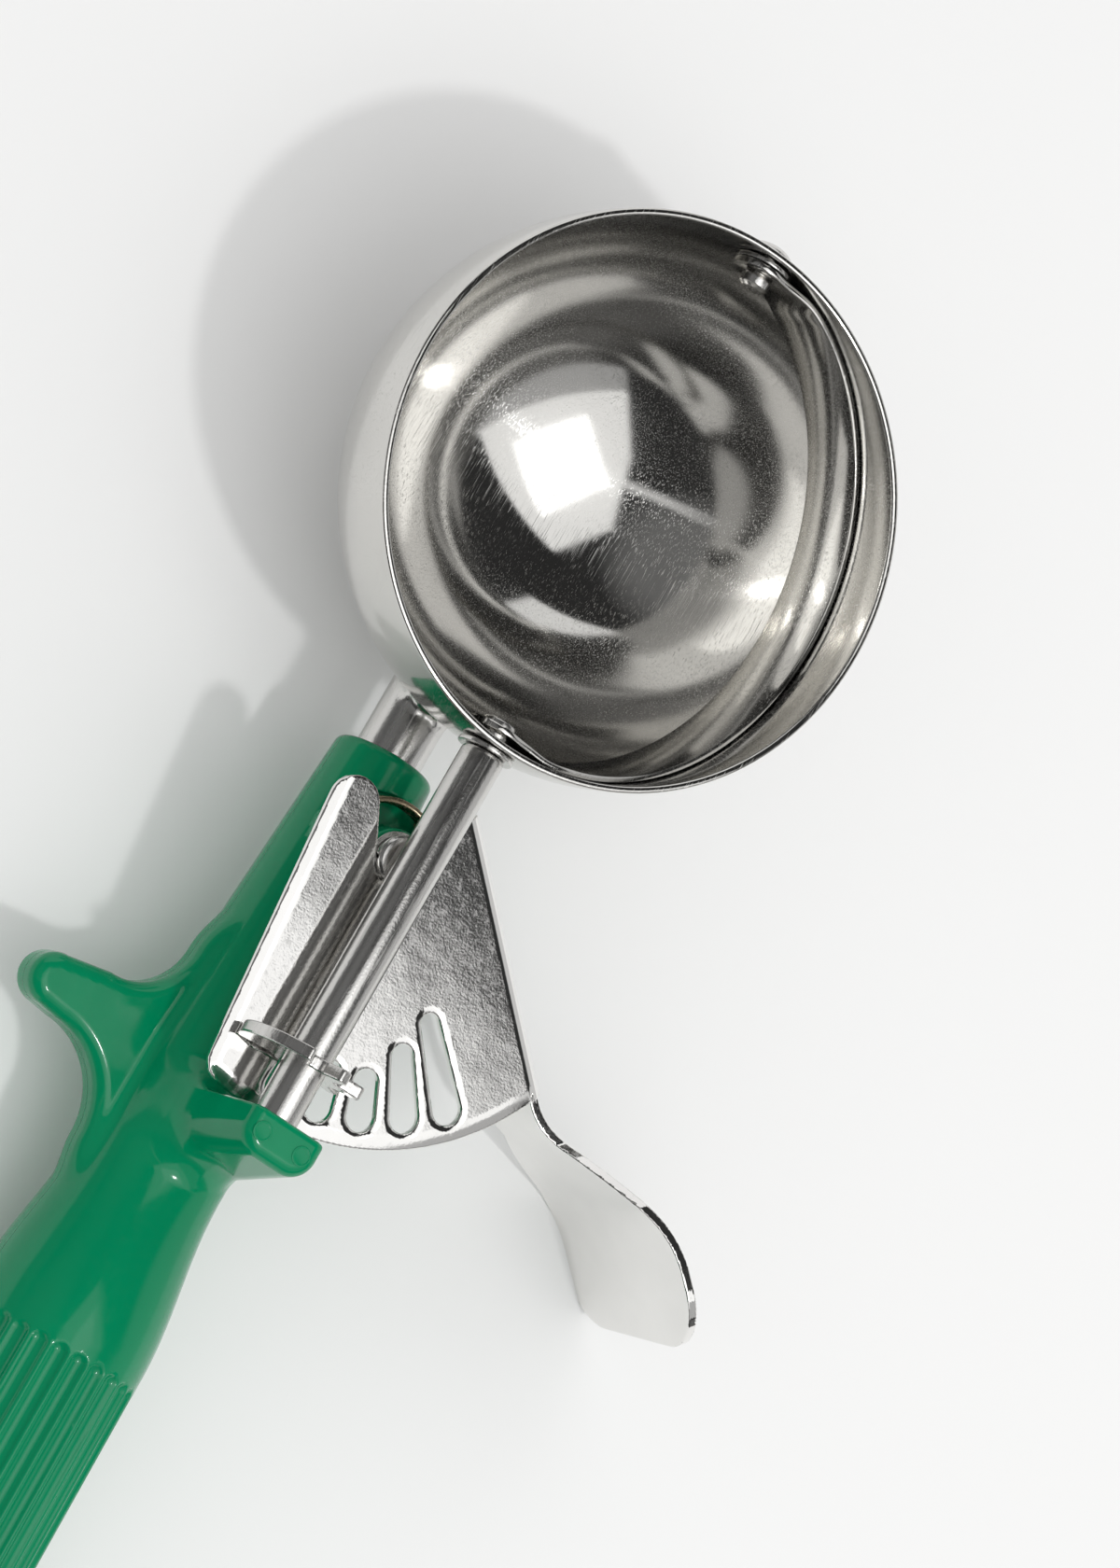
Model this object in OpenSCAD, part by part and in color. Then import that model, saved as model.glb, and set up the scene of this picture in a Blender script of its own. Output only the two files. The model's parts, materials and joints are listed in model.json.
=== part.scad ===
// Lever ice cream scoop: a pressed steel bowl on a rod with a moulded handle. A thumb lever
// with a slotted gear plate turns a shaft that sweeps a thin blade round the inside of the bowl.
// +X runs along the handle to the bowl, +Z out of the bowl's mouth, and the lever is on the -Y side.

/* [Bowl] */
// inside diameter of the bowl
bowl_inner_d = 63.5; // [50:0.5:72]
// thickness of the bowl's steel
bowl_wall = 0.85; // [0.6:0.05:1.5]
// straight wall between the half sphere and the rim
bowl_skirt = 4.05; // [2:0.05:8]
// distance from the handle's butt to the middle of the bowl
bowl_x = 186; // [160:1:210]

/* [Rod and weld] */
// diameter of the rod between the bowl and the handle
rod_d = 8.1; // [6:0.1:9]
// length of rod inside the handle
rod_grip_len = 56; // [40:1:70]
// thickness of the weld bead round the rod
weld_t = 1.6; // [1:0.1:2.4]
// length of the weld bead along the rod
weld_len = 4.2; // [3:0.1:6]

/* [Shaft and pinion] */
// diameter of the blade's shaft
shaft_d = 5.2; // [4:0.1:6]
// diameter of the shaft's journal through the bowl
journal_d = 3.2; // [2.4:0.1:4]
// how far the shaft lies above the handle's axis
shaft_z = 18.4; // [17:0.1:20]
// how far the shaft lies to the lever side of the handle's axis
shaft_off = 1.7; // [0:0.1:3]
// radial clearance of a shaft or pin that turns in a hole
run_gap = 0.06; // [0.02:0.01:0.1]
// gap between faces that slide past each other
face_gap = 0.1; // [0.05:0.05:0.3]
// how far the middle of the pinion lies in from the slots' outer ends
mesh_in = 4.9; // [4.5:0.1:5.3]
// thickness of the pinion
pinion_t = 1.5; // [1:0.1:2]
// radius of the pinion's tooth tips
tooth_tip_r = 7.0; // [6.6:0.1:7.4]
// radius between the pinion's teeth
tooth_root_r = 4.3; // [3.6:0.1:4.6]
// width of a tooth at its root
tooth_root_w = 2.5; // [2:0.1:3]
// width of a tooth at its tip
tooth_tip_w = 1.4; // [1:0.1:1.8]
// radius of the pinion's plain sector, which stops the lever at rest
sector_r = 8.2; // [8:0.1:8.3]

/* [Blade] */
// width of the blade
blade_w = 8.2; // [6:0.1:10]
// thickness of the blade
blade_t = 0.75; // [0.6:0.05:1]
// gap between the blade and the bowl
blade_gap = 0.4; // [0.3:0.05:0.8]
// how far below level the blade lies at rest
blade_rest = 15.5; // [10:0.5:25]
// radius of the round ear at each end of the blade
ear_r = 3.3; // [2.6:0.1:4]

/* [Lever] */
// distance from the middle of the bowl back to the lever's pivot
pivot_back = 47.65; // [46:0.05:50]
// thickness of the lever's sheet
sheet_t = 1.1; // [0.9:0.05:1.4]
// gap from the shaft's axis down to the top of the gear plate
plate_drop = 4.95; // [4.5:0.05:5.4]
// radius of the gear plate's toothed edge about the pivot
plate_r = 32.3; // [31.8:0.1:32.8]
// angle between neighbouring slots
slot_pitch = 10.75; // [10.5:0.05:11]
// angle of the first slot from the shaft
slot_start = 1.95; // [1.5:0.05:2.4]
// half the angle that a slot's sides span
slot_half = 3.5; // [3.2:0.1:3.8]
// width of sheet left between the slots and the plate's toothed edge
slot_edge = 1.9; // [1.6:0.1:2.2]
// length of a short slot
slot_len = 7.1; // [6.6:0.1:7.6]
// how much longer each of the two long slots is than the one before
slot_step = 2.9; // [2.5:0.1:3.2]
// radius of the sheet round the pivot pin
hub_r = 2.9; // [2.8:0.1:3]
// radius of the rounded finger at the front of the plate
finger_r = 3.0; // [2.5:0.1:3.5]
// how far the finger's middle lies in front of the pivot
finger_ahead = 2.7; // [2:0.1:3.5]
// how far the finger's middle lies to the side of the pivot
finger_side = 8.3; // [7.8:0.1:9]
// angle between the shaft and the plate's long edge behind the finger
edge_tilt = 5.5; // [3:0.5:8]
// radius of the corner between the long edge and the toothed edge
corner_r = 2.5; // [2:0.1:4]
// angle of the flange from the shaft
flange_dir = 46.9; // [44:0.1:50]
// distance from the pivot to the flange's outer face
flange_off = 11.2; // [10.8:0.1:11.8]
// outer radius of the bend between plate and flange
bend_r = 1.95; // [1.6:0.05:2.2]
// width of the thumb paddle
paddle_w = 30.2; // [26:0.1:32]
// width of the strip between the plate and the paddle
strip_w = 13; // [11:0.1:14]
// height of the strip's middle below the shaft
strip_drop = 13.2; // [12:0.1:14]
// length of the lever along its flange, from the pivot to the tip
lever_len = 63.2; // [60:0.1:68]
// distance along the flange from the pivot to the root of the strip
root_at = 31.5; // [31.5:0.5:34]
// angle that the strip turns outwards at its root
root_turn = 33; // [25:1:38]
// radius of the turn at the strip's root
root_r = 8; // [6:0.5:10]
// straight length of the strip between its two turns
strip_run = 10.8; // [9:0.1:12]
// radius of the turn back towards the paddle's tip
tip_r = 16; // [13:0.5:18]
// radius of the paddle's flared sides
paddle_r = 25; // [21:0.5:28]
// radius of the paddle's outer corners
paddle_corner = 7.5; // [5:0.5:9]

/* [Pivot and spring] */
// diameter of the pivot pin
pivot_d = 3.2; // [2.6:0.1:3.4]
// diameter of the pivot pin's head
pivot_head_d = 6.0; // [5.9:0.1:6.6]
// thickness of the pivot pin's head
pivot_head_t = 1.0; // [0.6:0.1:1.2]
// thickness of a washer
washer_t = 0.5; // [0.4:0.05:0.6]
// diameter of the spring's wire
wire_d = 0.85; // [0.7:0.05:1]
// outside diameter of the spring's coil
coil_d = 14.2; // [13.6:0.1:14.6]
// number of turns of the spring
coil_turns = 3; // [2:1:4]

/* [Handle] */
// diameter of the grip at its butt end
grip_d = 23.2; // [20:0.1:26]
// diameter of the grip where the flutes start
grip_front_d = 21.8; // [19:0.1:24]
// diameter of the waist behind the post
waist_d = 17.3; // [16:0.1:18]
// diameter of the handle's nose
nose_d = 12.2; // [11.4:0.1:13]
// radius of the butt's rounded edge
butt_r = 5; // [4:0.5:8]
// distance from the middle of the bowl back to the handle's nose
nose_back = 36.2; // [35:0.1:38]
// distance from the middle of the bowl back to where the handle's front cone ends
shoulder_back = 78; // [74:1:82]
// diameter of the handle at the front cone's wide end
shoulder_d = 17.2; // [16:0.1:18]
// distance from the middle of the bowl back to the waist
waist_back = 89; // [86:0.5:92]
// number of flutes round the grip
flute_count = 27; // [20:1:30]
// width of the round cutter of a flute
flute_d = 2.0; // [1.6:0.1:2.2]
// depth of a flute
flute_depth = 0.45; // [0.3:0.05:0.6]
// distance from the butt to the flutes' front ends
flute_end = 75; // [68:1:78]
// distance from the middle of the bowl back to the finger guard
guard_back = 78.2; // [76:0.1:80]
// length of the finger guard from the handle's axis to its tip
guard_reach = 25.2; // [20:0.1:30]
// radius of the hollow in front of the finger guard
guard_front_r = 7.8; // [6:0.1:9]
// radius of the hollow behind the finger guard
guard_rear_r = 9.5; // [8:0.1:11]
// thickness of the finger guard
guard_t = 5.6; // [4:0.1:7]
// width of the finger guard near its tip
guard_w = 6.2; // [5:0.1:8]
// height of the bearing post above the shaft
post_top = 5.3; // [4.6:0.1:6]
// thickness of the bearing post along the handle
post_t = 5.0; // [4.4:0.1:6]
// width of the bearing post at its foot
post_w = 12; // [11:0.1:13]
// how much the post narrows on each side towards its top
post_flare = 1.2; // [0.8:0.1:1.6]
// radius of the post's rounded top edges
post_edge = 1.8; // [1:0.1:2.2]
// clearance between the post and the gear plate
post_gap = 0.5; // [0.3:0.05:0.8]

/* [Hidden] */
$fn = 96;
eps = 0.02;
past = 1;
steel = [0.78, 0.78, 0.76];
bright = [0.86, 0.86, 0.84];
bronze = [0.55, 0.47, 0.33];
green = [0.0, 0.42, 0.28];
shaft_y = -shaft_off;
bowl_ri = bowl_inner_d / 2;
bowl_ro = bowl_ri + bowl_wall;
// along the shaft, from the middle of the bowl
pin_r = journal_d / 2 - 0.35;
washer_r = ear_r + 0.1;
washer_in = bowl_ri - washer_r * washer_r / bowl_ri / 2 - 0.1;
ear_out = washer_in - washer_t - face_gap;
ear_t = 0.8;
ear_in = ear_out - ear_t;
tab_w = blade_w - 2;
tab_len = ear_r + 4.5;
head_t = 1.6;
head_r = 1.85;
head_in = ear_in - face_gap - head_t;
rivet_r = 2.2;
rivet_t = 1;
cap_t = 1.45;
cap_ball_r = 3.4;
blade_ro = bowl_ri - blade_gap;
rear_seat = -bowl_ro - face_gap;
shaft_front = rear_seat - washer_t - face_gap;
// the lever's pivot, below the shaft
pivot_x = bowl_x - pivot_back;
plate_z = shaft_z - plate_drop;
slot_outer_r = plate_r - slot_edge;
slot_inner_r = slot_outer_r - slot_len;
pinion_x = pivot_x - slot_outer_r + mesh_in;
post_x = pivot_x - plate_r - post_gap;
post_end = post_x - post_t;
post_lean = 1.2;
post_blend_r = 6;
post_blend_z = -6;
post_foot_z = -10;
shaft_back = post_end + 1;
weld_x = bowl_x - sqrt(bowl_ro * bowl_ro - shaft_z * shaft_z) - weld_len;
weld_toe = 0.15;
// the pinion's teeth keep step with the slots
teeth_round = 7;
tooth_pitch = 360 / teeth_round;
gear_ratio = tooth_pitch / slot_pitch;
tooth_count = 4;
first_tooth = 270 - slot_start * gear_ratio;
sector_from = -36;
sector_to = 68;
slot_count = 5;
short_slots = 3;
// the lever's sheet
flat_end = flange_off - bend_r;
arc_end = sqrt(plate_r * plate_r - flat_end * flat_end);
strip_mid = -strip_drop + plate_drop;
flange_front = -2.3;
flange_drop = 7;
flange_tail = 10;
flange_rise = 1;
bend_relief = 0.5;
finger_end = -57;
hub_from = finger_end + 174;
hub_to = -25;
arc_steps = 12;
paddle_at = lever_len - paddle_corner;
// the handle's nose and seat
nose_x = bowl_x - nose_back;
nose_r = nose_d / 2;
nose_edge = 1;
shoulder_x = bowl_x - shoulder_back;
waist_x = bowl_x - waist_back;
guard_x = bowl_x - guard_back;
guard_len = 16;
guard_front_y = 8.6;
guard_rear_y = 5.7;
neck_front = 4.2;
neck_rear = 3.4;
seat_r = coil_d / 2 + 0.3;
coil_r = (coil_d - wire_d) / 2;
coil_pitch = wire_d + 0.03;
coil_top = plate_z - 4.2;
seat_z = coil_top - wire_d - coil_turns * coil_pitch - face_gap;
leg_turn = 7.4;
leg_len = 21;
tail_len = 4;
tail_bend = 1.2;
coil_step = 15;
boss_top = plate_z - sheet_t - face_gap - washer_t;
boss_r = 3.6;
pivot_washer_r = boss_r - 0.3;
head_bevel = 0.35;
pin_bottom = -5.2;
swell_steps = 10;

// moves to the middle of the bowl, on the shaft's axis
module at_bowl() {
  translate([bowl_x, shaft_y, shaft_z])
    children();
}

// moves to the lever's pivot, at the top of the gear plate
module at_pivot() {
  translate([pivot_x, shaft_y, plate_z])
    children();
}

// a round bar along +X from x0 to x1 on the current axis
module bar_x(r, x0, x1) {
  translate([x0, 0, 0])
    rotate([0, 90, 0])
      cylinder(r = r, h = x1 - x0);
}

module bowl() {
  color(bright) at_bowl() difference() {
    union() {
      sphere(r = bowl_ro);
      cylinder(r = bowl_ro, h = bowl_skirt);
    }
    sphere(r = bowl_ri);
    cylinder(r = bowl_ri, h = bowl_skirt + eps);
    translate([0, 0, bowl_skirt]) cylinder(r = bowl_ro + past, h = bowl_ro);
    bar_x(pin_r, 0, bowl_ro + past);
    bar_x(journal_d / 2 + run_gap, -bowl_ro - past, 0);
  }
}

// the rod's end is shaped to the bowl's wall, and the pivot pin passes through it
module bowl_rod() {
  color(steel) difference() {
    bar_x(rod_d / 2, nose_x - rod_grip_len, bowl_x);
    at_bowl() sphere(r = bowl_ro + eps / 2);
    translate([pivot_x, shaft_y, -rod_d])
      cylinder(r = pivot_d / 2, h = 2 * rod_d);
  }
}

module rod_weld() {
  color(steel) difference() {
    translate([weld_x, 0, 0])
      rotate([0, 90, 0])
        cylinder(r1 = rod_d / 2 + weld_toe, r2 = rod_d / 2 + weld_t, h = weld_len);
    bar_x(rod_d / 2, weld_x - past, bowl_x);
    at_bowl() sphere(r = bowl_ro + eps / 2);
  }
}

// a turned pin through the bowl's wall, with a low round head outside and a riveted one inside
module front_pin() {
  color(steel) at_bowl() rotate([0, 90, 0]) rotate_extrude() {
    translate([0, head_in]) square([head_r, ear_in - face_gap - head_in]);
    translate([0, head_in]) square([pin_r, bowl_ro + cap_t / 2 - head_in]);
    intersection() {
      translate([0, bowl_ro + cap_t - cap_ball_r]) circle(r = cap_ball_r);
      translate([0, bowl_ro]) square(cap_ball_r);
    }
  }
}

module front_washer() {
  color(steel) at_bowl() difference() {
    bar_x(washer_r, washer_in - washer_t, washer_in);
    bar_x(pin_r + run_gap, washer_in - washer_t - past, washer_in + past);
  }
}

module rear_washer() {
  color(steel) at_bowl() difference() {
    bar_x(washer_r, rear_seat - washer_t, rear_seat);
    bar_x(journal_d / 2 + run_gap, rear_seat - washer_t - past, rear_seat + past);
  }
}

// a half ring inside the bowl, with a round ear on the shaft's axis at each end
module wiper_blade() {
  color(steel) at_bowl() rotate([blade_rest, 0, 0]) difference() {
    intersection() {
      translate([0, 0, -blade_w / 2]) cylinder(r = blade_ro, h = blade_w);
      union() {
        difference() {
          translate([-ear_out, -bowl_ri, -blade_w / 2]) cube([2 * ear_out, bowl_ri, blade_w]);
          translate([0, 0, -blade_w]) cylinder(r = blade_ro - blade_t, h = 2 * blade_w);
        }
        for (near = [ear_in, -ear_out]) {
          bar_x(ear_r, near, near + ear_t);
          translate([near, -tab_len, -tab_w / 2]) cube([ear_t, tab_len, tab_w]);
        }
      }
    }
    bar_x(pin_r + run_gap, 0, bowl_ri);
    bar_x(journal_d / 2, -bowl_ri, 0);
  }
}

// the journal passes through the bowl and is riveted over the blade's rear ear
module wiper_shaft() {
  color(bright) at_bowl() {
    bar_x(shaft_d / 2, shaft_back - bowl_x, shaft_front);
    bar_x(journal_d / 2, shaft_front - eps, -ear_in + eps);
    bar_x(rivet_r, -ear_in, -ear_in + rivet_t);
  }
}

// one tooth, standing out along +Y
module tooth() {
  polygon([[0, -tooth_root_w / 2], [tooth_root_r, -tooth_root_w / 2], [tooth_tip_r, -tooth_tip_w / 2],
           [tooth_tip_r, tooth_tip_w / 2], [tooth_root_r, tooth_root_w / 2], [0, tooth_root_w / 2]]);
}

module pinion() {
  far = 2.5 * sector_r;
  color(steel)
    translate([pinion_x - pinion_t / 2, shaft_y, shaft_z])
      rotate([90, 0, 90])
        linear_extrude(height = pinion_t)
          difference() {
            union() {
              circle(r = tooth_root_r);
              for (k = [0:tooth_count - 1])
                rotate(first_tooth - k * tooth_pitch) tooth();
              intersection() {
                circle(r = sector_r);
                polygon([[0, 0], far * [cos(sector_from), sin(sector_from)], [far, far],
                         far * [cos(sector_to), sin(sector_to)]]);
              }
            }
            circle(r = shaft_d / 2);
          }
}

// the points of an arc about a centre
function arc(centre, r, from, to, steps = arc_steps) =
  [for (i = [0:steps])
    let (a = from + (to - from) * i / steps)
      centre + r * [cos(a), sin(a)]];

// one slot about the pivot, with sides that point at the pivot and round ends
module slot(inner) {
  s = sin(slot_half);
  far = slot_outer_r / (1 + s);
  near = inner / (1 - s);
  side = 90 + slot_half;
  polygon(concat(arc([far, 0], far * s, -side, side), arc([near, 0], near * s, side, 360 - side)));
}

// the gear plate's flat outline about the pivot; the flange's bend starts along its -Y side
module plate_outline() {
  finger = [finger_ahead, finger_side];
  edge_off = finger_r + finger[1] * cos(edge_tilt) - finger[0] * sin(edge_tilt);
  corner_way = edge_tilt + 180 - asin((edge_off - corner_r) / (plate_r - corner_r));
  corner = (plate_r - corner_r) * [cos(corner_way), sin(corner_way)];
  flange = [-cos(flange_dir), -sin(flange_dir)];
  out = [sin(flange_dir), -cos(flange_dir)];
  arc_way = 180 + flange_dir + atan(flat_end / arc_end);
  difference() {
    polygon(concat(
      arc(finger, finger_r, 90 + edge_tilt, finger_end), arc([0, 0], hub_r, hub_from, hub_to),
      [(flange_front - bend_relief) * flange + flat_end * out],
      arc([0, 0], plate_r, arc_way, corner_way, 2 * arc_steps),
      arc(corner, corner_r, corner_way, 90 + edge_tilt)));
    circle(r = pivot_d / 2 + run_gap);
    for (k = [0:slot_count - 1])
      rotate(180 + slot_start + k * slot_pitch)
        slot(slot_inner_r - slot_step * max(0, k - short_slots + 1));
  }
}

// the section of the bend, from the plate's edge (Y = 0) outwards and down
module bend_section() {
  centre = [0, -bend_r];
  polygon(concat(
    [[-bend_r / 2, -sheet_t], [-bend_r / 2, 0]], arc(centre, bend_r, 90, 0),
    [[bend_r, -1.5 * bend_r], [bend_r - sheet_t, -1.5 * bend_r]], arc(centre, bend_r - sheet_t, 0, 90)));
}

// the flange, the strip and the paddle seen from above: X along the flange, Y outwards
module strip_plan() {
  half = sheet_t / 2;
  mid = flange_off - half;
  root_c = [root_at, mid + root_r];
  side = [sin(root_turn), -cos(root_turn)];
  run_end = root_c + root_r * side + strip_run * [cos(root_turn), sin(root_turn)];
  tip_c = run_end + tip_r * side;
  far = 2 * lever_len;
  polygon(concat(
    [[flange_front, mid + half]], arc(root_c, root_r - half, -90, root_turn - 90),
    arc(tip_c, tip_r + half, 90 + root_turn, 90),
    [[far, tip_c[1] + tip_r + half], [far, tip_c[1] + tip_r - half]],
    arc(tip_c, tip_r - half, 90, 90 + root_turn), arc(root_c, root_r + half, root_turn - 90, -90),
    [[flange_front, mid - half]]));
}

// the strip's outline from the side: X along the flange, Y up from the plate's top
module strip_side() {
  half = paddle_w / 2;
  flare = asin((strip_w / 2 - half + paddle_r) / paddle_r);
  top = concat(arc([paddle_at, half - paddle_r], paddle_r, 180 - flare, 90),
               arc([paddle_at, half - paddle_corner], paddle_corner, 90, 0));
  strip_low = strip_mid - strip_w / 2;
  polygon(concat(
    [[flange_front, -flange_drop], [flange_front, eps - bend_r], [root_at, eps - bend_r]],
    [for (p = top) [p[0], strip_mid + p[1]]],
    [for (i = [len(top) - 1:-1:0]) [top[i][0], strip_mid - top[i][1]]],
    [[root_at, strip_low], [root_at - flange_tail, strip_low + flange_rise]]));
}

// pressed from one sheet: the slotted gear plate, the flange bent down from it and the thumb paddle
module thumb_lever() {
  bend_len = arc_end - flange_front - 2 * bend_relief;
  color(bright) at_pivot() {
    translate([0, 0, -sheet_t]) linear_extrude(height = sheet_t) plate_outline();
    rotate([0, 0, 180 + flange_dir]) {
      translate([flange_front, flat_end, 0]) rotate([90, 0, 90])
        linear_extrude(height = bend_len) bend_section();
      intersection() {
        translate([0, 0, -2 * paddle_w]) linear_extrude(height = 3 * paddle_w) strip_plan();
        translate([0, lever_len, 0]) rotate([90, 0, 0])
          linear_extrude(height = 2 * lever_len) strip_side();
      }
    }
  }
}

// driven through the handle's boss and the rod
module pivot_pin() {
  color(steel) translate([pivot_x, shaft_y, 0]) {
    translate([0, 0, pin_bottom]) cylinder(r = pivot_d / 2, h = plate_z + face_gap - pin_bottom + eps);
    translate([0, 0, plate_z + face_gap]) cylinder(r = pivot_head_d / 2, h = pivot_head_t - head_bevel);
    translate([0, 0, plate_z + face_gap + pivot_head_t - head_bevel])
      cylinder(r1 = pivot_head_d / 2, r2 = pivot_head_d / 2 - head_bevel, h = head_bevel);
  }
}

module pivot_washer() {
  color(steel) translate([pivot_x, shaft_y, boss_top]) difference() {
    cylinder(r = pivot_washer_r, h = washer_t);
    translate([0, 0, -past]) cylinder(r = pivot_d / 2 + run_gap, h = washer_t + 2 * past);
  }
}

// the spring's centre line: the tail, its bend, the coil and the leg, with each point's angle about +Z
function spring_path() = concat(
  [[0, [coil_r, -tail_bend, -tail_len]]],
  [for (b = [0:22.5:67.5]) [0, [coil_r, -tail_bend * cos(b), tail_bend * (sin(b) - 1)]]],
  [for (a = [0:coil_step:360 * coil_turns]) [a, [coil_r * cos(a), coil_r * sin(a), coil_pitch * a / 360]]],
  [[0, [coil_r, leg_len, coil_pitch * coil_turns]]]);

// turns of wire on the seat, with a leg along the flange and a tail down into the handle
module return_spring() {
  path = spring_path();
  last = len(path) - 1;
  sides = 8;
  rings = [for (i = [0:last])
    let (ahead = path[min(i + 1, last)][1] - path[max(i - 1, 0)][1], t = ahead / norm(ahead),
         u = [cos(path[i][0]), sin(path[i][0]), 0], v = cross(t, u))
      for (k = [0:sides - 1])
        path[i][1] + wire_d / 2 * (cos(360 * k / sides) * u + sin(360 * k / sides) * v)];
  walls = [for (i = [0:last - 1], k = [0:sides - 1])
    let (a = i * sides + k, b = i * sides + (k + 1) % sides)
      [a, a + sides, b + sides, b]];
  color(bronze) translate([pivot_x, shaft_y, seat_z + face_gap + wire_d / 2])
    rotate([0, 0, flange_dir + leg_turn - 90]) mirror([0, 1, 0])
      polyhedron(rings, concat(walls, [[for (k = [0:sides - 1]) k],
                                       [for (k = [sides - 1:-1:0]) last * sides + k]]));
}

// the waist's radius at a share of the way from the flutes' front ends
function swell(t) = (waist_d + (grip_front_d - waist_d) / 2 * (1 + cos(180 * t))) / 2;

// the moulded body turned about the handle's axis
module body() {
  rotate([90, 0, 90]) rotate_extrude() {
    polygon(concat(
      [[0, 0], [grip_d / 2 - butt_r, 0], [grip_d / 2, butt_r]],
      [for (i = [0:swell_steps])
        let (t = i / swell_steps)
          [swell(t), flute_end + t * (waist_x - flute_end)]],
      [[shoulder_d / 2, shoulder_x], [nose_r, nose_x - nose_edge]],
      [[nose_r - nose_edge, nose_x], [0, nose_x]]));
    translate([grip_d / 2 - butt_r, butt_r]) circle(r = butt_r);
    translate([nose_r - nose_edge, nose_x - nose_edge]) circle(r = nose_edge);
  }
}

// one half of the finger guard, turned about the guard's own axis with a hollow curve at its root
module guard_turned(hollow_r, hollow_x, hollow_y) {
  tip_r = guard_w / 2;
  rotate([-90, 0, 0]) rotate_extrude()
    polygon(concat([[0, 0], [hollow_x, 0]], arc([hollow_x, hollow_y], hollow_r, 270, 180),
                   arc([0, guard_reach - tip_r], tip_r, 0, 90)));
}

// the finger guard: flat above and below, with round sides and a round tip
module guard() {
  half = [guard_len, guard_reach + past, guard_t];
  translate([guard_x, 0, 0]) {
    intersection() {
      guard_turned(guard_front_r, guard_front_r + neck_front, guard_reach - guard_front_y);
      translate([0, 0, -guard_t / 2]) cube(half);
    }
    intersection() {
      guard_turned(guard_rear_r, guard_rear_r + neck_rear, guard_reach - guard_rear_y);
      translate([-guard_len, 0, -guard_t / 2]) cube(half);
    }
  }
}

// the bearing post from the side: X along the handle, Y up from the shaft's axis
module post_side() {
  polygon(concat(
    [[post_x, -shaft_z], [post_x, post_top]],
    arc([post_end + post_edge, post_top - post_edge], post_edge, 90, 180),
    [[post_end - post_lean, post_blend_z]],
    arc([post_end - post_lean - post_blend_r, post_blend_z], post_blend_r, 0, -90),
    [[post_end - post_lean - post_blend_r, -shaft_z]]));
}

// the bearing post from the front, with a rounded top
module post_front() {
  half = post_w / 2;
  edge_y = half - post_flare - post_edge;
  edge_z = post_top - post_edge;
  polygon(concat(
    [[-half, -shaft_z], [-half, post_foot_z]], arc([-edge_y, edge_z], post_edge, 180, 90),
    arc([edge_y, edge_z], post_edge, 90, 0), [[half, post_foot_z], [half, -shaft_z]]));
}

// the cutter of one flute, along the grip's slight taper
module flute_cutter() {
  taper = atan((grip_d - grip_front_d) / 2 / (flute_end - butt_r));
  translate([flute_end - flute_d, 0, grip_front_d / 2 + flute_d / 2 - flute_depth])
    rotate([0, taper, 0]) {
      sphere(d = flute_d);
      bar_x(flute_d / 2, -flute_end, 0);
    }
}

// the bearing post, square across the shaft
module post() {
  translate([0, shaft_y, shaft_z]) intersection() {
    translate([0, post_w, 0]) rotate([90, 0, 0]) linear_extrude(height = 2 * post_w) post_side();
    translate([post_end - guard_len, 0, 0]) rotate([90, 0, 90])
      linear_extrude(height = 2 * guard_len) post_front();
  }
}

// the hole and the groove for the spring's tail
module tail_room() {
  room = wire_d / 2 + face_gap;
  translate([pivot_x, shaft_y, seat_z]) rotate([0, 0, flange_dir + leg_turn - 90]) {
    translate([coil_r, tail_bend, -tail_len]) cylinder(r = room, h = tail_len + past);
    translate([coil_r - room, -room, -tail_bend - room])
      cube([2 * room, tail_bend + room, tail_bend + room + past]);
  }
}

// one moulding: the fluted grip, the guard, the bearing post, and the spring's seat round the pin's boss
module handle() {
  color(green) difference() {
    union() {
      difference() {
        body();
        translate([pivot_x, shaft_y, seat_z]) cylinder(r = seat_r, h = boss_top);
      }
      guard();
      translate([pivot_x, shaft_y, 0]) cylinder(r = seat_r, h = seat_z);
      translate([pivot_x, shaft_y, 0]) cylinder(r = boss_r, h = boss_top);
      post();
    }
    bar_x(rod_d / 2, nose_x - rod_grip_len, nose_x + past);
    translate([pivot_x, shaft_y, pin_bottom]) cylinder(r = pivot_d / 2, h = boss_top - pin_bottom + past);
    translate([0, shaft_y, shaft_z]) bar_x(shaft_d / 2 + run_gap, shaft_back - face_gap, post_x + past);
    tail_room();
    for (k = [0:flute_count - 1])
      rotate([(k + 0.5) * 360 / flute_count, 0, 0]) flute_cutter();
  }
}

bowl();
bowl_rod();
rod_weld();
front_pin();
front_washer();
rear_washer();
wiper_blade();
wiper_shaft();
pinion();
thumb_lever();
pivot_pin();
pivot_washer();
return_spring();
handle();
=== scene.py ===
"""The dressed model of the lever ice cream scoop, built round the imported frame.

Shapes are worked out in millimetres in the part's own axes: +X along the handle to the bowl, +Z out of the
bowl's mouth. Blender gets them in metres.
"""
import json
import math

import bmesh
import bpy
import numpy as np
from mathutils import Matrix, Vector


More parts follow.
